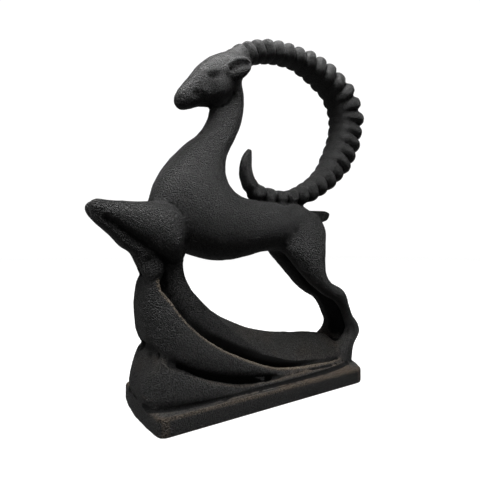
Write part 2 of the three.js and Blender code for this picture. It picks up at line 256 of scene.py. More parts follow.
# %% Faces, rims and beads
CREST_RISE = 0.3  # how far a bead's middle lies over the crest, as a share of its radius


def wave(plan, crest, face, rim):
    """Rings of a plan outline. A level is (inset at the front end, inset at the sides, share of
    the height, drop below it), and its height is floor + share * (crest - floor) - drop. The
    face's levels are a curve, the rim's are kept crisp. The front end drops hardly at all."""
    levels = np.vstack([through(face, np.linspace(0, 1, 16)), rim])
    top, inward, taper = crest_over(plan, crest), inward_of(plan), tapering(plan)
    at_end = front_share(inward)
    floor = PLATE - 1
    rings = []
    for end, sides, share, drop in levels:
        inset = (sides + (end - sides) * at_end) * taper
        drop = drop * taper * (1 - 0.85 * at_end)
        z = np.maximum(floor + share * (top - floor) - drop, floor + 0.5 * (share > 0))
        rings.append(np.c_[plan + inset[:, None] * inward, z])
    return [skin(np.array(rings))]


def bead(plan, crest, end, sides, radius):
    """A round bead on a wave's rim, a closed tube that starts and ends at the buried tail: its
    points are line + radius * (cos(a) across + sin(a) lift). Also gives the line."""
    top, inward = crest_over(plan, crest), inward_of(plan)
    inset = ((sides + (end - sides) * front_share(inward)) * tapering(plan))[:, None]
    line = np.roll(np.c_[plan + inset * inward, top + CREST_RISE * radius], -int(plan[:, 0].argmax()), 0)
    step = np.gradient(line, axis=0)
    step /= np.linalg.norm(step, axis=1)[:, None]
    across = np.cross(step, (0, 0, 1.0))
    across /= np.linalg.norm(across, axis=1)[:, None]
    lift = np.cross(across, step)
    angle = np.linspace(0, 2 * np.pi, 12, endpoint=False)
    rings = line[:, None] + radius * (
        np.cos(angle)[:, None] * across[:, None] + np.sin(angle)[:, None] * lift[:, None]
    )
    return [skin(rings)], line


# %% Low wave
def low_wave():
    """The broadest and lowest wave, whose face bulges over the plinth's front."""
    plan = wave_plan([
        (-1.04, 0), (-1.035, -0.35), (-0.985, -0.6), (-0.88, -0.75), (-0.7, -0.83), (-0.2, -0.84),
        (0.4, -0.83), (0.75, -0.75), (0.95, -0.62), (1.04, -0.4), (1.065, 0)], 0.02, 220)
    crest = [
        (-98, 34.5), (-92, 34.2), (-84, 31.2), (-71, 24), (-61, 18.2), (-48, 13.2), (-35, 9),
        (-20, 6.6), (0, 5.4), (30, 5), (60, 4), (100, 1.2)]
    face = [(2.2, 1.6, 0, 0), (0, 0, 0.22, 0), (2, 0, 0.5, 0), (6.6, 0.5, 0.74, 0),
            (11.5, 1.5, 0.9, 0), (17, 2.6, 1, 0)]
    rim = [(18, 3.4, 1, 0.2), (19.5, 4.4, 1, 1), (21, 5.5, 1, 3), (24, 9, 1, 5)]
    return wave(plan, crest, face, rim)


keep_form("low wave", low_wave())


# %% Middle wave
def middle_wave():
    """The wave behind it, undercut at its foot, with the beaded rim. Also gives the bead's line."""
    plan = wave_plan([
        (-1.02, 0), (-1.015, -0.3), (-0.97, -0.5), (-0.87, -0.65), (-0.7, -0.72), (-0.2, -0.74),
        (0.4, -0.72), (0.75, -0.64), (0.93, -0.52), (1.01, -0.3), (1.035, 0)], 0.03, 220)
    crest = [
        (-92, 86.5), (-89, 78), (-81, 66.8), (-69.3, 52.3), (-52.6, 37.7), (-33, 26.4),
        (-8, 14.8), (8, 9.6), (32, 6.4), (60, 5), (98, 2)]
    face = [(10, 6.4, 0, 0), (9.5, 6, 0.36, 0), (5, 3.4, 0.45, 0), (1.6, 0.8, 0.56, 0),
            (0, 0, 0.75, 0), (2, 0, 0.9, 0), (5.5, 0.9, 1, 0)]
    rim = [(8.5, 3.6, 1, 0), (9.4, 4.2, 1, 1.2), (11, 5, 1, 9), (14, 8, 1, 11)]
    # the bead's line is kept for the painted highlight laid on it later
    strip, line = bead(plan, crest, end=8, sides=3, radius=1.5)
    return wave(plan, crest, face, rim) + strip, line


middle, rim_line = middle_wave()
keep_form("middle wave and bead", middle)


# %% [markdown]
# ## The tall wave
#
# The third wave is a strap that climbs from the hooves to the chest and bears the whole animal. It
# has upright sides up to an edge and a rounded crest above it. Its sections lean with the strap, so
# it isn't a stack of level rings but a loft from foot to crest, like a limb, with its own profile.

# %% Tall wave
def tall_wave():
    """A loft: at share v from foot to crest, half the width is h * profile(v), 1 at the edge."""
    stations = np.array([
        # crest x and height, foot x and height, half width at the edge, share of height there
        (-61, 107, -84, 104, 14, 0.95), (-65, 92, -85, 84, 14.5, 0.95),
        (-60.5, 78, -82, 66, 15.5, 0.95), (-47, 63.5, -74, 46, 16.5, 0.93),
        (-29, 51, -60, 30, 17.5, 0.85), (-10, 42, -38, 18, 18.2, 0.7), (12, 35, -12, 8, 18.8, 0.5),
        (40, 30.5, 26, 0, 19.2, 0.34), (66, 27.5, 64, -3, 19.2, 0.32), (88, 22, 88, -3, 18.6, 0.34),
        (98, 12, 98, -3, 15, 0.4)])
    t = np.linspace(0, 1, 110)
    crest, foot = through(stations[:, 0:2], t), through(stations[:, 2:4], t)
    half, edge = through(stations[:, 4:6], t).T
    rings = []
    for high, low, h, e in zip(crest, foot, half, edge):
        lower = through([(0, 0.5), (0.35 * e, 0.72), (0.7 * e, 0.96), (e, 1)], np.linspace(0, 1, 12))
        upper = through(
            [(e, 1), (e + 0.35 * (1 - e), 0.8), (e + 0.8 * (1 - e), 0.4), (1, 0.03)],
            np.linspace(0, 1, 14))
        side = np.vstack([lower, upper[1:]])
        xz = low + side[:, :1] * (high - low)
        near = np.c_[xz[:, 0], -h * side[:, 1], xz[:, 1] + PLATE]
        rings.append(np.vstack([near, near[::-1] * (1, -1, 1)]))
    return [skin(np.array(rings))]


keep_form("tall wave", tall_wave())


# %% [markdown]
# ## The gazelle
#
# Neck and trunk are one smooth swelling form, and the head is a narrow wedge with a flat forehead.
# Both are lofts down the middle of the work, while the ears come in a pair that leans outward. The
# stations were picked on the edges seen in the photo, closer where the outline turns. The
# camera further down gives their millimetres.

# %% Trunk, head, ears and tail
def trunk():
    """One loft from the nape down the neck and along the back to the rump."""
    return [limb([
        (-33, 231, -12, 250, 9), (-37, 219, -8, 235, 9.6), (-39, 208, -8, 220, 10.8),
        (-46, 196, -12, 204, 12.6), (-60, 183, -19, 190, 15), (-72.5, 169, -25.5, 177, 18),
        (-81.5, 154, -27, 165, 20.5), (-86, 138, -23, 154.5, 22), (-82, 119.5, -13, 147.5, 22.5),
        (-66, 104.5, 3, 145, 22), (-47, 97.5, 18, 145, 21), (-25, 95, 32, 145, 20),
        (-5, 98, 44, 146, 19), (12, 102, 56, 143.5, 18), (26, 103, 66, 138.5, 16.5),
        (40, 101, 72, 130, 13), (52, 103, 73, 120, 8)], rings=110, sides=72, power=2.35)]


def head():
    """A loft from the muzzle to the poll, whose edges are the face and the jaw."""
    return [limb([
        (-67.5, 216.5, -66, 211.8, 3.6), (-66.5, 222, -61.5, 210.3, 6.4),
        (-61.5, 229.5, -54, 212.5, 8), (-55.5, 237.5, -47.5, 215.5, 9),
        (-47.8, 248.3, -40, 217.3, 11), (-38.5, 256.6, -33, 218.5, 12.8),
        (-28, 262.8, -24.5, 222, 13.2), (-18, 268.5, -16, 233, 11.8), (-8, 273, -8, 247, 9.5),
        (0, 275, 0, 258, 7)], rings=80, sides=64, power=2.6)]


def ears():
    """Two leaf-shaped lofts that stand out from the head; their hollows are pressed in later."""
    return pair([
        (-31, 245, -30, 240, 2.5, -10), (-27.5, 251, -25.5, 238, 3.6, -11.5),
        (-22, 256, -20, 237.8, 4.2, -13.4), (-16, 257, -14.5, 241, 3.8, -15.4),
        (-11.5, 254.5, -10.8, 246.5, 2.8, -17), (-10, 251.5, -10, 249.5, 1.4, -17.8)],
        rings=40, sides=32, power=2.2)


def tail():
    """A short loft that ends in a blunt tip."""
    return [limb([
        (60, 141, 66, 122, 8), (70, 140.6, 77, 126.5, 6.8), (80, 141, 83.5, 129.5, 5.2),
        (88.5, 141, 89.5, 131.5, 3.6), (93.5, 139.5, 92.5, 134.5, 2)], rings=30, sides=24, power=2)]


keep_form("trunk", trunk())
keep_form("head", head())
keep_form("ears", ears())
keep_form("tail", tail())


# %% [markdown]
# ## Legs
#
# The forelegs are folded under the chest as in a leap: forearm forward, shank back, foot down. The
# hind legs stretch down to the plinth. A web fills the middle, because no light shows between left
# and right in the photo. Near and far legs are set a little apart, because the photo shows the far
# hock past the near one.

# %% Forelegs
def forelegs():
    """Forearm, shank and foot of each side as three lofts. The near shank and foot reach a little
    further forward than the far ones."""
    forearm = pair([
        (-64, 128, -66, 96, 5.5, -9), (-70, 134.5, -73, 95, 9.8, -12.6),
        (-79, 137, -82, 99.5, 11, -12.8), (-93, 136.6, -94, 107.8, 10.2, -10.8),
        (-108, 136, -108, 116, 8.8, -8.8), (-119, 136.2, -117.5, 121.5, 8, -7.4),
        (-125.2, 136.4, -123.4, 123.6, 7.6, -6.8), (-128.6, 133.6, -127.4, 127.6, 5.6, -6.5)])
    shank = np.array([
        (-120, 132, -126.4, 127.2, 5.5, -6.2), (-116.5, 127, -122.6, 122.2, 6.8, -6.8),
        (-107.5, 118, -113.4, 114.8, 6.8, -7.2), (-98, 111, -105.2, 106.3, 6.8, -7.8),
        (-88.5, 106, -98, 101.5, 7.8, -8.4), (-85, 100, -94.5, 96, 7, -8.8),
        (-86.5, 96.5, -91.5, 93.5, 4.6, -9)], float)
    foot = np.array([
        (-91, 103.5, -95.5, 97, 4.5, -9), (-84.5, 99.8, -92.5, 92, 6.6, -9.6),
        (-80, 95, -90.5, 87.5, 7.6, -10), (-79.5, 89.5, -88.5, 84.5, 7, -10.2),
        (-81.5, 83, -87.5, 80.5, 5, -10), (-84, 78.5, -86.5, 78, 2.4, -9.8)], float)
    web = [limb([
        (-64, 118, -68, 95, 8), (-92, 128, -84, 92, 7), (-113, 131, -104, 114, 6),
        (-122, 131, -117, 123, 4)])]
    forward = np.array((0, 0, -1.6, -1.2, 0, 0))
    near = [limb(shank + forward), limb(foot + 2.6 * forward * (0, 0, 1, 0, 0, 0))]
    return forearm + web + near + [limb(shank, side=-1), limb(foot, side=-1)]


keep_form("forelegs", forelegs())


# %% Hind legs
HOCK_STAGGER, HIP, PASTERN = 5.0, 110.0, 12.0


def hind_legs():
    """One loft a side. Between hip and pastern the far one is set back by HOCK_STAGGER, with an
    even run in over 20 mm at both ends."""
    stations = np.array([
        (26, 115, 66, 138, 8, -9), (27, 105, 75, 124, 10, -10.5),
        (36.5, 93.5, 73.5, 109, 10.3, -12.2), (47, 81.5, 70.5, 93.5, 9, -14),
        (60, 70, 70.5, 83, 7.6, -15.2), (73, 61.8, 76.5, 74, 6.8, -16),
        (86, 55, 91.8, 66.4, 6.4, -16.4), (93, 47.5, 97.5, 54, 5.8, -16.6),
        (97.5, 38.5, 103.5, 42.5, 5.6, -16.6), (100, 30.5, 110.5, 35, 5.8, -16.4),
        (98, 25, 114, 27, 6.2, -16.2), (94, 20.5, 110.5, 21, 6.8, -16),
        (90, 15, 105.5, 16.5, 8, -15.4), (87, 8, 103.5, 8, 9, -14.6),
        (85, 0, 102, -1, 9.3, -14.2)], float)
    middle = (stations[:, 1] + stations[:, 3]) / 2
    back = HOCK_STAGGER * np.clip(np.minimum(HIP - middle, middle - PASTERN) / 20, 0, 1)
    far = stations + back[:, None] * (1, 0, 1, 0, 0, 0)
    web = limb([
        (50, 106, 70, 118, 10), (61, 88, 71.5, 97, 11), (75, 69, 80, 75, 12),
        (88.5, 60, 92.5, 64.5, 12.5), (97, 49.5, 100.5, 53.5, 13), (102, 40.5, 106, 43, 13),
        (107.5, 32.5, 111.5, 34.5, 13), (109, 25.5, 114, 26.5, 13), (103, 18.5, 111, 20.5, 12),
        (95, 10, 104, 10, 12), (89, 0, 102, -1, 12)], power=3)
    return [limb(stations, rings=90), limb(far, rings=90, side=-1), web]


keep_form("hind legs", hind_legs())


# %% [markdown]
# ## The horn
#
# The horn rises from the head, makes a full curl and rests on the back. Its ridges are strong
# outside and faint inside, closer at the root and gone at the tip. An array of rings along a curve
# would all be alike. Instead the tube's radius itself rises and falls: a saw with a soft front and
# a steep back, times a factor that differs from ridge to ridge, as on a grown horn.

# %% Horn
HORN_RIDGES, ROWS_A_RIDGE = 31, 14
RIDGE_RISE, INNER_RISE = 3.7, 0.7
SMOOTH_TIP = 0.08  # the share of the length, at the tip, that has no ridges


def horn():
    """A tube round a curl whose radius grows by saw * share: the saw has a soft front and a steep
    back in each ridge, and the share runs from INNER_RISE inside the curl to RIDGE_RISE outside."""
    s = np.array([
        # x, height, half thickness across the curl, half width sideways
        (-22, 257, 8.4, 8.4), (-6, 266.3, 8.4, 8.8), (12, 274.8, 8, 9.2), (34, 279.3, 7.4, 9.4),
        (58, 279.5, 8.4, 10.5), (84, 272.5, 10.8, 12.2), (101, 264, 12.2, 13.6),
        (111.5, 253, 13.2, 14.6), (117, 240.5, 13.8, 15), (117, 228, 14, 15.2),
        (112.5, 210.5, 13.8, 14.8), (103, 193, 12.6, 14), (90, 176.4, 10.2, 13),
        (73, 163.8, 8.6, 11.6), (54, 154.2, 7.6, 10), (35, 150, 5.8, 8.8), (19, 150.4, 6.6, 8),
        (6, 153.5, 6.2, 7.4), (-1.5, 161.5, 6, 7), (-4, 171.5, 5.4, 6.4), (-2.5, 181.5, 4.4, 5),
        (0, 188.5, 2.4, 2.8)])
    rows, sides = HORN_RIDGES * ROWS_A_RIDGE + 1, 56
    centre, at = evenly(s[:, 0:2], rows)
    radial, lateral = through(s[:, 2:4], at).T
    along = np.gradient(centre, axis=0)
    along /= np.linalg.norm(along, axis=1)[:, None]
    t = np.linspace(0, 1, rows)
    count = HORN_RIDGES * (t + 0.35 * t * (1 - t) ** 4)
    phase = count % 1
    saw = np.interp(phase, [0, 0.1, 0.32, 0.55, 0.8, 1], [-0.5, -0.2, 0.8, 1, 0.75, -0.5])
    uneven = 1 + 0.25 * np.sin(2.4 * np.floor(count)) * np.sin(0.9 * np.floor(count) + 1)
    rise = saw * uneven * np.clip(np.minimum((1 - SMOOTH_TIP - t) * 25, t * 20 - 0.1), 0, 1)
    angle = np.linspace(0, 2 * np.pi, sides, endpoint=False)
    across, out = bent(np.cos(angle), 2.6), bent(np.sin(angle), 2.6)
    outer = np.clip(0.5 * (1 + np.cos(angle)) * 1.25, 0, 1) ** 0.9
    ridge = rise[:, None] * (INNER_RISE + outer * (RIDGE_RISE - INNER_RISE))
    r = across * (radial[:, None] - 0.3 + 0.8 * ridge)
    x = centre[:, :1] - along[:, 1:] * r
    z = centre[:, 1:] + along[:, :1] * r + PLATE
    y = out * (lateral[:, None] - 0.6 + 0.75 * ridge)
    return [skin(np.stack([x, y, z], axis=2))]


keep_form("horn", horn())


# %% [markdown]
# ## One skin
#
# The forms overlap, but the real work is one body. Boolean unions of this many skins can fail where
# faces nearly touch. A voxel remesh samples the inside of them all on a grid and draws one closed
# surface of small even quads round it, which is also what carving needs.

# %% Mesh in, mesh out
def join(parts):
    """One vertex and face table for several skins."""
    verts, faces, start = [], [], 0
    for v, f in parts:
        verts.append(v)
        faces.append(f + start)
        start += len(v)
    return np.vstack(verts), np.vstack(faces)


def mesh_object(name, verts, faces):
    """A linked object at the origin; millimetres become metres."""
    mesh = bpy.data.meshes.new(name)
    mesh.from_pydata((verts / 1000).tolist(), [], faces.tolist())
    mesh.update()
    obj = bpy.data.objects.new(name, mesh)
    bpy.context.collection.objects.link(obj)
    return obj


def read_mesh(obj):
    """Vertices in millimetres and faces of an object with its modifiers applied, which is then
    removed. All faces have the same number of corners."""
    seen = obj.evaluated_get(bpy.context.evaluated_depsgraph_get())
    data = seen.to_mesh()
    points = np.empty(len(data.vertices) * 3)
    data.vertices.foreach_get("co", points)
    loops = np.empty(len(data.loops), int)
    data.loops.foreach_get("vertex_index", loops)
    corners = len(data.loops) // len(data.polygons)
    seen.to_mesh_clear()
    bpy.data.objects.remove(obj)
    return points.reshape(-1, 3) * 1000, loops.reshape(-1, corners)


def remeshed(name, verts, faces, voxel):
    """Vertices and quads of the voxel skin round a mesh."""
    obj = mesh_object(name, verts, faces)
    modifier = obj.modifiers.new("one_skin", "REMESH")
    modifier.mode = "VOXEL"
    modifier.voxel_size = voxel / 1000
    return read_mesh(obj)


# %% Join and remesh
VOXEL = 0.95
P, F = remeshed("rough_forms", *join(parts), VOXEL)
print(f"remeshed: {len(P)} vertices, {2 * len(F)} triangles")

# %% [markdown]
# ## Carving tools
#
# A carver first rounds the corners where forms meet and then cuts the lines. Sculpt brushes do this
# by hand; here two functions do it for all vertices at once. `fill` moves a vertex out only where
# the surface is hollow, so creases become fillets and convex forms keep their shape. `press` pushes
# the surface in, or pulls it out, along a path. Both work on P and F, the mesh's points and faces,
# with `ends`, `others` and `degree`, its table of edges.

# %% Edges, neighbours and normals
def link_up(faces, count):
    """The edge table of a closed mesh: both ends of every edge, and each vertex's degree."""
    ring = np.roll(faces, -1, axis=1)
    edges = np.unique(np.sort(np.stack([faces.ravel(), ring.ravel()], axis=1), axis=1), axis=0)
    ends, others = np.r_[edges[:, 0], edges[:, 1]], np.r_[edges[:, 1], edges[:, 0]]
    return ends, others, np.bincount(ends, minlength=count).astype(float)


def neighbours(values):
    """Mean of each vertex's neighbours."""
    return np.stack(
        [np.bincount(ends, weights=values[others, k], minlength=len(values)) / degree for k in range(3)],
        axis=1,
    )


def normals(points):
    """Area-weighted vertex normals: the sum of (c - a) x (d - b) over a vertex's faces."""
    a, b, c, d = (points[F[:, k]] for k in (0, 1, 2, -1))
    face = np.cross(c - a, d - b) if F.shape[1] == 4 else np.cross(b - a, c - a)
    total = np.stack(
        [np.bincount(F.ravel(), weights=np.repeat(face[:, k], F.shape[1]), minlength=len(points))
         for k in range(3)],
        axis=1,
    )
    return total / np.maximum(np.linalg.norm(total, axis=1), 1e-12)[:, None]


# %% Keep the largest island
def largest(points, faces, ends, others):
    """Drops stray bubbles: labels spread by pointer jumping until each island has one."""
    label = np.arange(len(points))
    while True:
        low = label.copy()
        np.minimum.at(low, ends, label[others])
        low = low[low]
        if (low == label).all():
            break
        label = low
    main = label == np.bincount(label).argmax()
    index = np.cumsum(main) - 1
    return points[main], index[faces[main[faces[:, 0]]]]


ends, others, degree = link_up(F, len(P))
P, F = largest(P, F, ends, others)
ends, others, degree = link_up(F, len(P))
print(f"one island: {len(P)} vertices")


# %% Smooth and fill
def smooth(points, mask, rounds, amount=0.5):
    """Laplacian smoothing where the mask is set: each round goes `amount` of the way to the mean
    of the neighbours."""
    for _ in range(rounds):
        points = points + amount * mask[:, None] * (neighbours(points) - points)
    return points


def fill(points, mask, rounds, amount=0.6):
    """Fillets hollow creases: like smooth, but of the step along the normal only what goes
    outward is kept. The normals are renewed every tenth round."""
    for k in range(rounds):
        if k % 10 == 0:
            n = normals(points)
        lap = neighbours(points) - points
        out = np.einsum("ij,ij->i", lap, n)
        step = lap - out[:, None] * n + np.maximum(out, 0)[:, None] * n
        points = points + amount * mask[:, None] * step
    return points


def ball(points, x, height, y, radius, soft=0.5):
    """1 inside a ball, falling to 0 over the outer share of its radius. |y| is used."""
    d = np.sqrt(
        (points[:, 0] - x) ** 2
        + (points[:, 2] - PLATE - height) ** 2
        + (np.abs(points[:, 1]) - y) ** 2
    )
    return np.clip((radius - d) / (soft * radius), 0, 1)


# %% Press along a path
TRACK_STEP = 0.8
CREASES = []


def mirrored(points):
    """The points with |y| for y, so that one track serves both sides of the work."""
    return np.c_[points[:, 0], np.abs(points[:, 1]), points[:, 2]]


def distance(points, track, radius):
    """Distance to the nearest point of a track, at most the radius."""
    inside = (points > track.min(0) - radius) & (points < track.max(0) + radius)
    close = np.flatnonzero(inside.all(axis=1))
    d = np.full(len(points), float(radius))
    for q in track:
        d[close] = np.minimum(d[close], np.linalg.norm(points[close] - q, axis=1))
    return d


def nearness(points, track, radius):
    """1 on a track, 0 from a radius away."""
    return 1 - distance(points, track, radius) / radius


def press(points, path, radius, depth, toward=None, crease_shade=0.0, calm=0):
    """Pushes in by depth * (1 - (d/radius)^2)^2, d the distance to a path of (x, height, |y|)
    points, on both sides of the work. A negative depth pulls out. `toward` is the direction for
    the near side, else it is against the normal. `crease_shade` is how much shade is painted into
    the crease, and `calm` how often the surface is smoothed around it first."""
    path = np.array(path, float)
    path = np.c_[path[:, 0], path[:, 2], path[:, 1] + PLATE]
    length = np.linalg.norm(np.diff(path, axis=0), axis=1).sum()
    track = evenly(path, int(length / TRACK_STEP) + 2)[0] if len(path) > 1 else path
    # each track keeps how much shade is to be painted into its crease
    CREASES.append((track, radius, crease_shade))
    if calm:
        around = nearness(mirrored(points), track, 1.9 * radius)
        points = smooth(points, np.clip(2 * around, 0, 1), calm)
    d = distance(mirrored(points), track, radius)
    amount = (depth * (1 - (d / radius) ** 2) ** 2)[:, None]
    if toward is None:
        return points - amount * normals(points)
    side = np.where(points[:, 1] < 0, 1, -1)[:, None]
    facing = np.hstack([np.ones_like(side), side, np.ones_like(side)])
    return points + amount * np.array(toward, float) * facing


# %% [markdown]
# ## Blending and carving
#
# In the casting each limb flows into the body, while the crease of the jaw, the folded foreleg and
# the feet of the waves stay sharp. So balls are placed over the joints that flow, and only there
# the hollows are filled. Then every crease is pressed in where the photo shows it. The bump of a
# material could darken a crease, but wouldn't change its outline or be kept in the mesh.

# %% Blend the limbs into the body
start = P.copy()
body = np.zeros(len(P))
for x, height, y, radius in (
    (-60, 110, 18, 20), (-78, 137, 6, 12), (30, 112, 14, 30), (50, 98, 14, 22),
    (66, 130, 0, 22), (-58, 100, 0, 18), (95, 10, 10, 16), (-20, 240, 0, 14), (-29, 246, 12, 6),
    (-20, 264, 0, 14), (-120, 129, 8, 9), (-87, 28, 6, 10), (78, 130, 0, 12),
):
    body = np.maximum(body, ball(P, x, height, y, radius))
P = fill(P, body, 60)
P = smooth(P, body, 7)
P = smooth(P, ball(P, -121, 129, 6, 12, 0.8), 16)
# the whole surface is eased a little, but not the horn and the plate
horn_or_plate = (P[:, 2] > 155) & (P[:, 0] > 2) | (P[:, 2] < PLATE)
P = smooth(P, np.where(horn_or_plate, 0.0, 0.35), 2)
print(f"blended: moved up to {np.linalg.norm(P - start, axis=1).max():.1f} mm")

# %% Carve the head
start = P.copy()
# eye hollow, brow, lower lid
P = press(P, [(-43.4, 236.2, 10.3), (-40.2, 236.8, 11.3), (-36.8, 238.4, 12)], 2.8, 0.8, crease_shade=0.3)
P = press(P, [(-46, 239.8, 9), (-40, 241.6, 10.5), (-33, 243, 11)], 3.4, -0.4)
P = press(P, [(-43.8, 232.6, 10.3), (-41, 232.2, 11.2), (-38, 233.6, 12)], 2.2, -0.35)
# hollow behind the muzzle, nostril and mouth
P = press(P, [(-53, 221, 8.5), (-47.5, 219, 10)], 5.5, 1.1, crease_shade=0.2)
P = press(P, [(-65.5, 217.2, 4.5)], 2.2, 0.6, crease_shade=0.3)
P = press(P, [(-66.5, 213.2, 3), (-61, 213.6, 6.5), (-56, 215.6, 8)], 1.8, 0.4)
# the jaw's edge over the neck
P = press(P, [(-38, 215.6, 6), (-34, 216, 9), (-28.6, 218.8, 10.8), (-24.3, 223, 11.5),
              (-20.8, 228.5, 11.8)], 3.4, 2.2, crease_shade=0.45)
# ear hollows
P = press(P, [(-26, 245.6, 15.5), (-22, 248.4, 17.5), (-18, 250.4, 19), (-14, 250.6, 20)], 4.8, 2.2,
          toward=(0, 1, 0), crease_shade=0.4)

# %% Carve the legs
# crease between forearm and folded leg, round the foot, and round the shoulder
P = press(P, [(-119, 123.2, 15), (-111.8, 118.6, 15.5), (-105.3, 114.3, 16), (-98, 109.5, 16.5),
              (-89.8, 103.2, 17), (-82, 97.5, 18), (-77.5, 95, 18)], 3.6, 1.8,
          toward=(0, 1, 0), crease_shade=0.75)
P = press(P, [(-79, 96, 18), (-76.5, 89, 18), (-78.5, 81, 17.5), (-81.5, 75.5, 17)], 3.6, 2.4, crease_shade=0.9)
P = press(P, [(-88.5, 99.5, 17), (-93, 95.5, 16), (-97, 92, 14)], 3.4, 1)
P = press(P, [(-90, 136, 21), (-84, 134.6, 22.5), (-78.6, 131.8, 23), (-74.6, 126.6, 23.5),
              (-72.4, 120.5, 23.5), (-71, 114, 22.5)], 4, 1, crease_shade=0.3)
# the recess between near and far hind leg keeps its depth and gets painted shade
P = press(P, [(52, 104, 2), (62, 88, 2), (76, 70, 3), (88, 60, 4), (96, 50, 5), (101, 41, 5),
              (106, 33, 5), (107, 27, 5)], 10, 0, crease_shade=1.2)

# %% Carve the waves
# the groove between low and middle wave, with two thin ends
P = press(P, [(-91, 39, 19), (-87.5, 35.5, 22), (-82, 31, 25), (-74, 25.5, 28)], 2.8, 1.2, crease_shade=0.8)
P = press(P, [(-80, 29, 26), (-70, 23, 28), (-55, 16, 29), (-38, 10, 29.5), (-20, 7, 29.5),
              (-8, 5.8, 28.5), (4, 4.8, 28)], 4.6, 0.6, crease_shade=1.0, calm=6)
P = press(P, [(-20, 7, 29.5), (-4, 5.5, 30), (12, 4.2, 30), (28, 2.8, 30), (44, 1.6, 30)],
          2.4, 1.2, crease_shade=0.9, calm=6)
# crease at the foot of the low wave
P = press(P, [(-96.5, 0.6, 14), (-92, 0.6, 25.4), (-84, 0.6, 29.8), (-70, 0.6, 32.2),
              (-20, 0.6, 32.8), (40, 0.6, 32.6), (72, 0.9, 29.6), (90, 1.4, 24.8)], 2.8, 0.9,
          toward=(0, 0.6, -0.8), crease_shade=1.3, calm=4)
print(f"carved: moved up to {np.linalg.norm(P - start, axis=1).max():.1f} mm")

# %% [markdown]
# ## A clean skin again
#
# Carving stretches the skin and can fold it in a narrow groove. A second, finer voxel remesh mends
# that, but leaves more triangles than a piece may have. A plain remesh at a coarser grid would blur
# the creases. So the Decimate modifier collapses edges where the surface is flat, and a vertex
# group keeps it away from the bead and from every dark crease.

# %% Remesh the carved skin
FINE_VOXEL = 0.85
P, F = remeshed("carved", P, F, FINE_VOXEL)
ends, others, degree = link_up(F, len(P))
P, F = largest(P, F, ends, others)
ends, others, degree = link_up(F, len(P))
P = smooth(P, np.full(len(P), 0.5), 1)
print(f"remeshed: {len(P)} vertices, {2 * len(F)} triangles")

# %% Thin it
MOST_TRIANGLES = 196000
dense = mesh_object("dense", P, F)
spot = mirrored(P)
rim_track = rim_line[(rim_line[:, 0] < 88) & (rim_line[:, 1] < 0)] * (1, -1, 1) + (0, 0, 0.8)
keep = nearness(spot, rim_track, 3.5) > 0
# creases that get painted shade are kept from thinning too
for track, radius, crease_shade in CREASES:
    if crease_shade:
        keep |= nearness(spot, track, radius + 1) > 0
group = dense.vertex_groups.new(name="may_thin")
group.add(np.flatnonzero(~keep).tolist(), 1.0, "REPLACE")
group.add(np.flatnonzero(keep).tolist(), 0.0, "REPLACE")
thin = dense.modifiers.new("thin", "DECIMATE")
thin.vertex_group = group.name
thin.ratio = MOST_TRIANGLES / (2 * len(F))
thin.use_collapse_triangulate = True
P, F = read_mesh(dense)
ends, others, degree = link_up(F, len(P))
print(f"thinned: {len(F)} triangles")

# %% [markdown]
# ## Grain
#
# Cast stone is never quite even: it swells and dips by a fraction of a millimetre. A displacement
# modifier would need an image or a texture. Value noise in numpy does the same for all vertices:
# random numbers on a lattice, blended with the smooth step 3t^2 - 2t^3, move each vertex along its
# normal. The fine pebbles, about 1 mm across, are left to the material's bump.

# %% Noise on a lattice
CELLS = 64
rng = np.random.default_rng(7)
LATTICE = rng.random((CELLS, CELLS, CELLS))


def noise(points, cell):
    """Value noise in -1..1 with lattice cells of the given size: the corners' numbers weighted by
    w = 3t^2 - 2t^3 in each direction."""
    u = points / cell
    i = np.floor(u).astype(int)
    w = u - i
    w = w * w * (3 - 2 * w)
    total = np.zeros(len(points))
    for dx in (0, 1):
        for dy in (0, 1):
            for dz in (0, 1):
                x, y, z = ((i + (dx, dy, dz)) % CELLS).T
                weight = (
                    (w[:, 0] if dx else 1 - w[:, 0])
                    * (w[:, 1] if dy else 1 - w[:, 1])
                    * (w[:, 2] if dz else 1 - w[:, 2])
                )
                total += LATTICE[x, y, z] * weight
    return 2 * total - 1


# %% Lay the grain
grain = 0.16 * noise(P, 2.2) + 0.22 * noise(P, 6.0) + 0.25 * noise(P, 19.0)
grain[P[:, 2] < 0.6] = 0  # the plinth stands on a flat underside
P = P + grain[:, None] * normals(P)
P[:, 2] = np.maximum(P[:, 2], 0)
print(f"grain: {grain.min():.2f} to {grain.max():.2f} mm")

# %% [markdown]
# ## The finished piece
#
# The finish paints shade into the grooves and light onto up-facing faces and the bead; it also lays
# a lighter brown on sharp edges and brown dust where it lies. A material alone can't tell a groove
# from an edge in the same way in every renderer, so four numbers are stored with each vertex.
# `upward` is high on faces that face up, which get painted light and dust; the next is high where
# the surface is sharply convex; `rim` runs along the bead of the middle wave, which gets a painted
# highlight. The last, for the painted shade, is high in grooves: it is the share of rays from a
# vertex that meet stone nearby, or how near a carved crease is, whichever is more.

# %% Make the piece
sculpture = mesh_object("gazelle_in_stone", P, F)
mesh = sculpture.data
mesh.polygons.foreach_set("use_smooth", np.ones(len(mesh.polygons), bool))
print(f"{sculpture.name}: {len(mesh.polygons)} triangles")
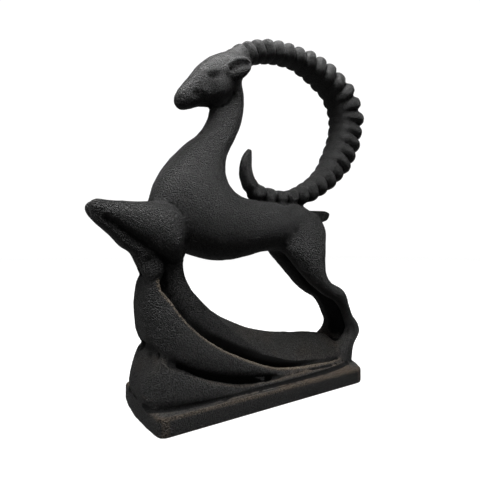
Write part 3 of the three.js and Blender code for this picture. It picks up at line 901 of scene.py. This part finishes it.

# %% Shelter from rays, which sets the painted shade
# ten rays a vertex, spread over the half sphere round its normal and denser near it; the tree takes
# them one at a time, so this is the one loop over vertices, and it measures but shapes nothing
RAYS, REACH = 10, 22.0
N = normals(P)
tree = BVHTree.FromPolygons(P.tolist(), F.tolist())
turns = rng.random((len(P), RAYS, 2))
tilt, spin = np.sqrt(turns[..., 0]), 2 * np.pi * turns[..., 1]
aside = np.cross(N, np.where(np.abs(N[:, :1]) < 0.7, (1.0, 0, 0), (0, 1.0, 0)))
aside /= np.linalg.norm(aside, axis=1)[:, None]
level = np.cross(N, aside)
rays = (
    (tilt * np.cos(spin))[..., None] * aside[:, None]
    + (tilt * np.sin(spin))[..., None] * level[:, None]
    + np.sqrt(1 - tilt**2)[..., None] * N[:, None]
)
painted_shade = np.zeros(len(P))
for k, (origin, fan) in enumerate(zip((P + 0.3 * N).tolist(), rays.tolist())):
    for ray in fan:
        hit = tree.ray_cast(origin, ray, REACH)[3]
        if hit is not None:
            painted_shade[k] += 1 - hit / REACH
painted_shade /= RAYS
for _ in range(4):
    painted_shade = np.bincount(ends, weights=painted_shade[others], minlength=len(P)) / degree
print("shelter percentiles", np.percentile(painted_shade, [5, 25, 50, 75, 95]).round(2))

# %% Bulge, painted shade, painted light, lighter edges and dust
# the bulge is how far a vertex stands out from a widely smoothed surface
wide = P
for _ in range(8):
    wide = neighbours(wide)
bulge = np.einsum("ij,ij->i", P - wide, N)
print("bulge percentiles", np.percentile(bulge, [5, 25, 50, 75, 95, 99]).round(2))
spot = mirrored(P)
# painted shade is laid along every carved crease that has some, on the flank over the bead and in
# concave spots
for track, radius, crease_shade in CREASES:
    if crease_shade:
        painted_shade = np.maximum(painted_shade, 0.55 * crease_shade * np.clip(1.6 * nearness(spot, track, radius), 0, 1))
# the painted light on up-facing faces, the dust and the lighter edges belong to the waves and the
# plinth: all of it below 35 mm, little above 75 mm
low = np.clip((75 - P[:, 2]) / 40, 0, 1)
# the bead's painted highlight fades out towards the tail of the wave, and so does the painted shade on
# the groove above it
rim = np.clip(2.2 * nearness(spot, rim_track, 2.4), 0, 1) * np.clip((88 - P[:, 0]) / 30, 0, 1)
# the down-facing flank of the tall wave just over the bead gets painted shade
groove = nearness(spot, rim_track + (0, -8, 1.5), 9) * np.clip((0.4 - N[:, 2]) / 0.3, 0, 1)
groove *= np.clip((80 - P[:, 0]) / 60, 0, 1)
painted_shade = np.maximum(painted_shade, 0.6 * np.clip(1.7 * groove, 0, 1))
painted_shade = np.maximum(painted_shade, 0.5 * np.clip((-bulge - 0.06) / 0.4, 0, 1))
# the bead gets none of the painted shade: it carries the painted highlight instead
painted_shade *= 1 - rim
# sharply convex edges, mostly low down, are made a lighter brown
lighter_edges = np.clip((bulge - 0.45) / 0.5, 0, 1) * (0.2 + 0.8 * low)
# up-facing faces, mostly low down, are painted paler as painted light from above; dust lies on them too
upward = np.clip(N[:, 2], 0, 1) * (0.12 + 0.88 * low)
for name, values in (("upward", upward), ("lighter_edges", lighter_edges), ("rim", rim), ("painted_shade", painted_shade)):
    layer = mesh.attributes.new(name, "FLOAT", "POINT")
    layer.data.foreach_set("value", values.astype(np.float32))
    print(f"{name}: mean {values.mean():.3f}")

# %% [markdown]
# ## The finish
#
# The casting is charcoal black and matt, with pebbles of about 1 mm that catch the light on their
# tops. Nothing in it shines, so the specular level is low. An image texture would need an unwrap
# and would show seams. Noise on Object coordinates runs through the whole body without any. One
# fine noise gives the grain its tone and also drives the bump, and the colour is lighter where the
# bump rises and darker where it falls: painted highlights on the pebble tops and painted shade in
# the pits. The vertex attributes then lay painted light on up-facing faces, brown dust, lighter
# edges, a painted highlight on the bead and painted shade in the grooves over it.

# %% Material and its helpers
material = bpy.data.materials.new("black_cast_stone")
material.use_nodes = True
nodes, links = material.node_tree.nodes, material.node_tree.links
shader = nodes["Principled BSDF"]
shader.inputs["Specular IOR Level"].default_value = 0.22
where = nodes.new("ShaderNodeTexCoord")


def noise_node(scale, detail=2.0, rough=0.6):
    """Noise on the object's own coordinates, which are metres: scale 1000 is a 1 mm pebble."""
    node = nodes.new("ShaderNodeTexNoise")
    node.inputs["Scale"].default_value = scale
    node.inputs["Detail"].default_value = detail
    node.inputs["Roughness"].default_value = rough
    links.new(where.outputs["Object"], node.inputs["Vector"])
    return node.outputs["Fac"]


def attribute(name):
    """The value of a vertex attribute."""
    node = nodes.new("ShaderNodeAttribute")
    node.attribute_name = name
    return node.outputs["Fac"]


def spread(value, low, high, to_low=0.0, to_high=1.0):
    """Maps low..high of a socket to to_low..to_high, clamped."""
    node = nodes.new("ShaderNodeMapRange")
    for number, socket in ((low, 1), (high, 2), (to_low, 3), (to_high, 4)):
        node.inputs[socket].default_value = number
    links.new(value, node.inputs[0])
    return node.outputs[0]


def mix(blend, fac, a, b):
    """A colour mix. Each of fac, a and b is a socket or a constant."""
    node = nodes.new("ShaderNodeMix")
    node.data_type = "RGBA"
    node.blend_type = blend
    for value, socket in ((fac, node.inputs[0]), (a, node.inputs[6]), (b, node.inputs[7])):
        if isinstance(value, bpy.types.NodeSocket):
            links.new(value, socket)
        else:
            socket.default_value = value
    return node.outputs[2]


def product(a, b):
    """The product of two sockets."""
    node = nodes.new("ShaderNodeMath")
    node.operation = "MULTIPLY"
    links.new(a, node.inputs[0])
    links.new(b, node.inputs[1])
    return node.outputs[0]


# %% Colour
# GREY is the stone, PALE painted light on tops, BROWN dust and edges, TAN the bead's painted highlight,
# BLACK painted shade
BLACK, GREY = (0.0008, 0.0008, 0.0009, 1), (0.015, 0.0149, 0.0148, 1)
PALE, BROWN, TAN = (0.036, 0.035, 0.033, 1), (0.042, 0.032, 0.0235, 1), (0.1, 0.082, 0.062, 1)
PIT, TOP = (0.25, 0.25, 0.25, 1), (2.6, 2.6, 2.6, 1)  # what the pebbles multiply a colour by
pebbles = noise_node(1000, 3.0)
patches = noise_node(38, 4.0)
dust = product(spread(attribute("upward"), 0.3, 1.0), spread(patches, 0.42, 0.6))
# up-facing faces are painted paler: painted light from above
colour = mix("MIX", spread(attribute("upward"), 0.2, 0.8, 0.0, 0.8), GREY, PALE)
colour = mix("MIX", dust, colour, BROWN)
# sharply convex edges are painted a lighter brown
colour = mix("MIX", spread(attribute("lighter_edges"), 0.1, 1.0, 0.0, 0.7), colour, BROWN)
# the bead is painted light tan: a painted highlight along it
colour = mix("MIX", spread(attribute("rim"), 0.1, 0.9, 0.0, 0.9), colour, TAN)
# the pebble noise gives the grain's tone and also paints highlights on pebble tops and shade in the pits
colour = mix("MULTIPLY", 1.0, colour, mix("MIX", spread(pebbles, 0.38, 0.66), PIT, TOP))
# grooves, creases and recesses are painted black: painted shade
colour = mix("MIX", spread(attribute("painted_shade"), 0.14, 0.42), colour, BLACK)
links.new(colour, shader.inputs["Base Color"])

# %% Roughness and bump
BUMP_DEPTH = 0.0036  # metres, at full contrast of the noise
links.new(spread(attribute("painted_shade"), 0.1, 0.4, 0.42, 0.95), shader.inputs["Roughness"])
bump = nodes.new("ShaderNodeBump")
bump.inputs["Strength"].default_value = 1.0
bump.inputs["Distance"].default_value = BUMP_DEPTH
links.new(pebbles, bump.inputs["Height"])
links.new(bump.outputs["Normal"], shader.inputs["Normal"])
mesh.materials.append(material)
print(f"{material.name}: {len(nodes)} nodes")

# %% Put the piece in the frame
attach(sculpture, "root")
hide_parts("gazelle_sculpture")

# %% [markdown]
# ## Floor and walls
#
# The photo is cut out on white, so the camera should see nothing but white round the work. A plain
# white floor would throw light up into the dark undersides of the waves. So floor and walls are
# sheets that glow evenly and are hidden from diffuse and glossy rays: seen, but without any effect.

# %% Floor and walls
def sheet(name, corners, glow, shade):
    """A flat stage sheet that the camera sees as white and that casts no light on the work."""
    obj = mesh_object(name, np.array(corners, float) * 1000, np.array([(0, 1, 2, 3)]))
    pale = bpy.data.materials.new(name + "_white")
    pale.use_nodes = True
    paint = pale.node_tree.nodes["Principled BSDF"]
    paint.inputs["Base Color"].default_value = (shade, shade, shade, 1)
    paint.inputs["Roughness"].default_value = 1.0
    paint.inputs["Specular IOR Level"].default_value = 0.0
    paint.inputs["Emission Color"].default_value = (1, 1, 1, 1)
    paint.inputs["Emission Strength"].default_value = glow
    obj.data.materials.append(pale)
    obj.visible_diffuse = False
    obj.visible_glossy = False
    return obj


sheet("floor", [(-6, -6, 0), (6, -6, 0), (6, 6, 0), (-6, 6, 0)], 0.97, 0.2)
sheet("backdrop", [(2.1, 8.9, -2), (8.9, 2.1, -2), (8.9, 2.1, 8), (2.1, 8.9, 8)], 1.05, 0.0)
sheet("backdrop_left", [(-6, 6, -2), (2.1, 8.9, -2), (2.1, 8.9, 8), (-6, 6, 8)], 1.05, 0.0)
print("stage: a floor 12 m wide and two walls")

# %% [markdown]
# ## Light
#
# In the photo a broad soft light stands above and a smaller one in front and to the left: the back,
# the forehead and the waves' crests are lightest, the undersides nearly black. Two area lamps do
# that, a third one lifts the shadows a little, and a faint even world stands in for the room.

# %% World and lamps
world = bpy.data.worlds.new("studio")
world.use_nodes = True
world.node_tree.nodes["Background"].inputs["Color"].default_value = (1, 1, 1, 1)
world.node_tree.nodes["Background"].inputs["Strength"].default_value = 0.12
bpy.context.scene.world = world


def lamp(name, place, aim, size, power):
    """A square area light that faces its aim; metres and watts."""
    light = bpy.data.lights.new(name, "AREA")
    light.size = size
    light.energy = power
    obj = bpy.data.objects.new(name, light)
    back = np.array(place, float) - np.array(aim, float)
    back /= np.linalg.norm(back)
    right = np.cross((0, 0, 1), back)
    right /= np.linalg.norm(right)
    turn = np.c_[right, np.cross(back, right), back, place]
    obj.matrix_world = Matrix(np.vstack([turn, (0, 0, 0, 1)]).tolist())
    bpy.context.collection.objects.link(obj)
    return obj


MIDDLE = (0, 0, 0.15)
lamp("key", (-0.7, -0.3, 1.3), MIDDLE, 0.5, 18)
lamp("top", (0.1, -0.1, 1.4), MIDDLE, 0.8, 44)
lamp("fill", (-1.2, -1.3, 0.45), MIDDLE, 0.9, 3)

# %% [markdown]
# ## Camera
#
# The photo was taken from close by, with the near front corner of the plinth towards the lens, so
# its lines run together strongly. The place, the three axes and the focal length were worked out
# from the plinth's edges. A camera with a tracking constraint would come near, but the axes written
# out hold the slight tilt as well.

# %% Camera
FOCAL, PHOTO_WIDTH = 365.0, 480.0  # both in pixels of the photo
RIGHT = np.array((0.8442, -0.5361, 0.0))
UP = np.array((-0.0147, -0.0231, 0.9996))
FORWARD = np.array((0.5359, 0.8439, 0.0274))
PLACE = np.array((-0.1715, -0.2550, 0.1159))
lens = bpy.data.cameras.new("photo_view")
lens.sensor_width = 36
lens.lens = lens.sensor_width * FOCAL / PHOTO_WIDTH
camera = bpy.data.objects.new("photo_view", lens)
turn = np.c_[RIGHT, UP, -FORWARD, PLACE]
camera.matrix_world = Matrix(np.vstack([turn, (0, 0, 0, 1)]).tolist())
bpy.context.collection.objects.link(camera)
bpy.context.scene.camera = camera
bpy.context.scene.view_settings.view_transform = "Standard"
